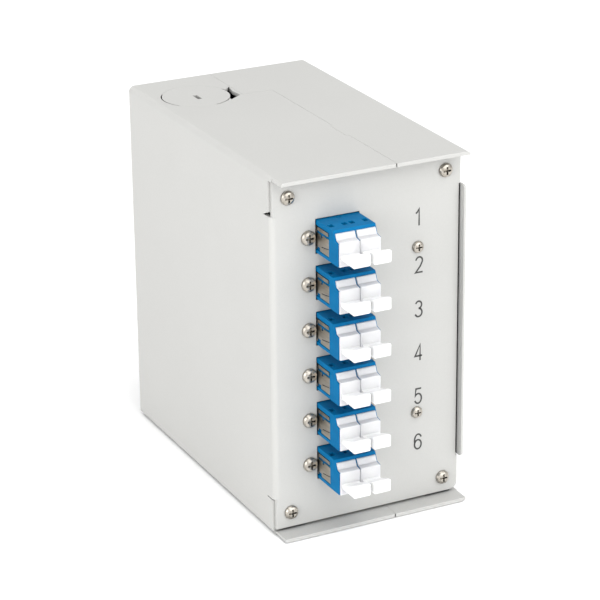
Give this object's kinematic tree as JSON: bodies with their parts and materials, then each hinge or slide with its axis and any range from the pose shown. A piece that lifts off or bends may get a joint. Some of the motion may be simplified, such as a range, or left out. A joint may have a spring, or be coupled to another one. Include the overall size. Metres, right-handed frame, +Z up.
{
  "type": "fiber termination box",
  "caption": "Narrow upright sheet-steel fiber termination box with a column of capped duplex adapters on its front panel, a slide-off cover, an inner splice tray and a rail clip.",
  "frame": {"origin": "middle of the case underside", "axes": "+X to the right seen from the front, +Y to the back (rail side), +Z up; the front panel faces -Y"},
  "size_m": [0.0587, 0.1231, 0.1054],
  "materials": {
    "powder_coat": "fine-textured light grey powder coat on steel sheet",
    "zinc_sheet": "zinc-plated steel sheet",
    "nickel_plate": "bright nickel-plated steel",
    "rivet_metal": "blind rivet aluminium",
    "spring_steel": "spring steel wire",
    "clip_steel": "bare stainless spring strip",
    "zirconia": "polished zirconia",
    "blue_plastic": "satin blue moulded plastic",
    "white_plastic": "soft translucent white moulded plastic",
    "tray_plastic": "light grey moulded plastic",
    "clear_plastic": "clear moulded plastic",
    "comb_rubber": "soft black rubber",
    "nylon": "natural nylon",
    "clip_plastic": "black glass-filled plastic",
    "latch_plastic": "dark grey glass-filled plastic"
  },
  "bodies": {
    "case": {"chassis": "powder_coat", "knockout": "powder_coat", "chassis_corner_brackets": "zinc_sheet", "corner_screws": "nickel_plate", "corner_nuts": "nickel_plate", "adapter_housing_1": "blue_plastic", "adapter_housing_2": "blue_plastic", "adapter_housing_3": "blue_plastic", "adapter_housing_4": "blue_plastic", "adapter_housing_5": "blue_plastic", "adapter_housing_6": "blue_plastic", "adapter_clips": "clip_steel", "alignment_sleeves": "zirconia", "adapter_screws": "nickel_plate", "adapter_nuts": "nickel_plate", "tray_bracket": "zinc_sheet", "splice_tray": "tray_plastic", "bend_guides": "tray_plastic", "tray_fingers": "tray_plastic", "hinge_pin": "spring_steel", "splice_holder": "comb_rubber", "tray_rivets": "rivet_metal", "tray_screws": "nickel_plate", "tray_nuts": "nickel_plate", "cable_anchor": "zinc_sheet", "anchor_rivets": "rivet_metal", "fiber_clips": "nylon", "rail_clip": "clip_plastic", "latch_spring": "spring_steel", "rail_clip_screws": "nickel_plate", "rail_clip_nuts": "nickel_plate"},
    "cover": {"cover": "powder_coat", "cover_corner_brackets": "zinc_sheet"},
    "lid": {"tray_lid": "clear_plastic"},
    "latch": {"rail_latch": "latch_plastic"},
    "cap_1_left": {"dust_cap_1_left": "white_plastic"},
    "cap_1_right": {"dust_cap_1_right": "white_plastic"},
    "cap_2_left": {"dust_cap_2_left": "white_plastic"},
    "cap_2_right": {"dust_cap_2_right": "white_plastic"},
    "cap_3_left": {"dust_cap_3_left": "white_plastic"},
    "cap_3_right": {"dust_cap_3_right": "white_plastic"},
    "cap_4_left": {"dust_cap_4_left": "white_plastic"},
    "cap_4_right": {"dust_cap_4_right": "white_plastic"},
    "cap_5_left": {"dust_cap_5_left": "white_plastic"},
    "cap_5_right": {"dust_cap_5_right": "white_plastic"},
    "cap_6_left": {"dust_cap_6_left": "white_plastic"},
    "cap_6_right": {"dust_cap_6_right": "white_plastic"}
  },
  "joints": [
    {"name": "cover_slide", "type": "slide", "parent": "case", "child": "cover", "axis": [1, 0, 0], "range_m": [0, 0.13]},
    {"name": "lid_hinge", "type": "hinge", "parent": "case", "child": "lid", "pos_m": [0.02115, 0.038, 0.0535], "axis": [0, 0, 1], "range_deg": [0, 100]},
    {"name": "latch_slide", "type": "slide", "parent": "case", "child": "latch", "axis": [0, 0, -1], "range_m": [0, 0.004], "stiffness_N_per_m": 1500, "springref_m": -0.001, "deforming": ["latch_spring"]},
    {"name": "cap_1_left_pull", "type": "slide", "parent": "case", "child": "cap_1_left", "axis": [0, -1, 0], "range_m": [0, 0.03]},
    {"name": "cap_1_right_pull", "type": "slide", "parent": "case", "child": "cap_1_right", "axis": [0, -1, 0], "range_m": [0, 0.03]},
    {"name": "cap_2_left_pull", "type": "slide", "parent": "case", "child": "cap_2_left", "axis": [0, -1, 0], "range_m": [0, 0.03]},
    {"name": "cap_2_right_pull", "type": "slide", "parent": "case", "child": "cap_2_right", "axis": [0, -1, 0], "range_m": [0, 0.03]},
    {"name": "cap_3_left_pull", "type": "slide", "parent": "case", "child": "cap_3_left", "axis": [0, -1, 0], "range_m": [0, 0.03]},
    {"name": "cap_3_right_pull", "type": "slide", "parent": "case", "child": "cap_3_right", "axis": [0, -1, 0], "range_m": [0, 0.03]},
    {"name": "cap_4_left_pull", "type": "slide", "parent": "case", "child": "cap_4_left", "axis": [0, -1, 0], "range_m": [0, 0.03]},
    {"name": "cap_4_right_pull", "type": "slide", "parent": "case", "child": "cap_4_right", "axis": [0, -1, 0], "range_m": [0, 0.03]},
    {"name": "cap_5_left_pull", "type": "slide", "parent": "case", "child": "cap_5_left", "axis": [0, -1, 0], "range_m": [0, 0.03]},
    {"name": "cap_5_right_pull", "type": "slide", "parent": "case", "child": "cap_5_right", "axis": [0, -1, 0], "range_m": [0, 0.03]},
    {"name": "cap_6_left_pull", "type": "slide", "parent": "case", "child": "cap_6_left", "axis": [0, -1, 0], "range_m": [0, 0.03]},
    {"name": "cap_6_right_pull", "type": "slide", "parent": "case", "child": "cap_6_right", "axis": [0, -1, 0], "range_m": [0, 0.03]}
  ],
  "couplings": [
    {"joint": "lid_hinge", "follows": "cover_slide", "rad_per_m": 13.42}
  ]
}
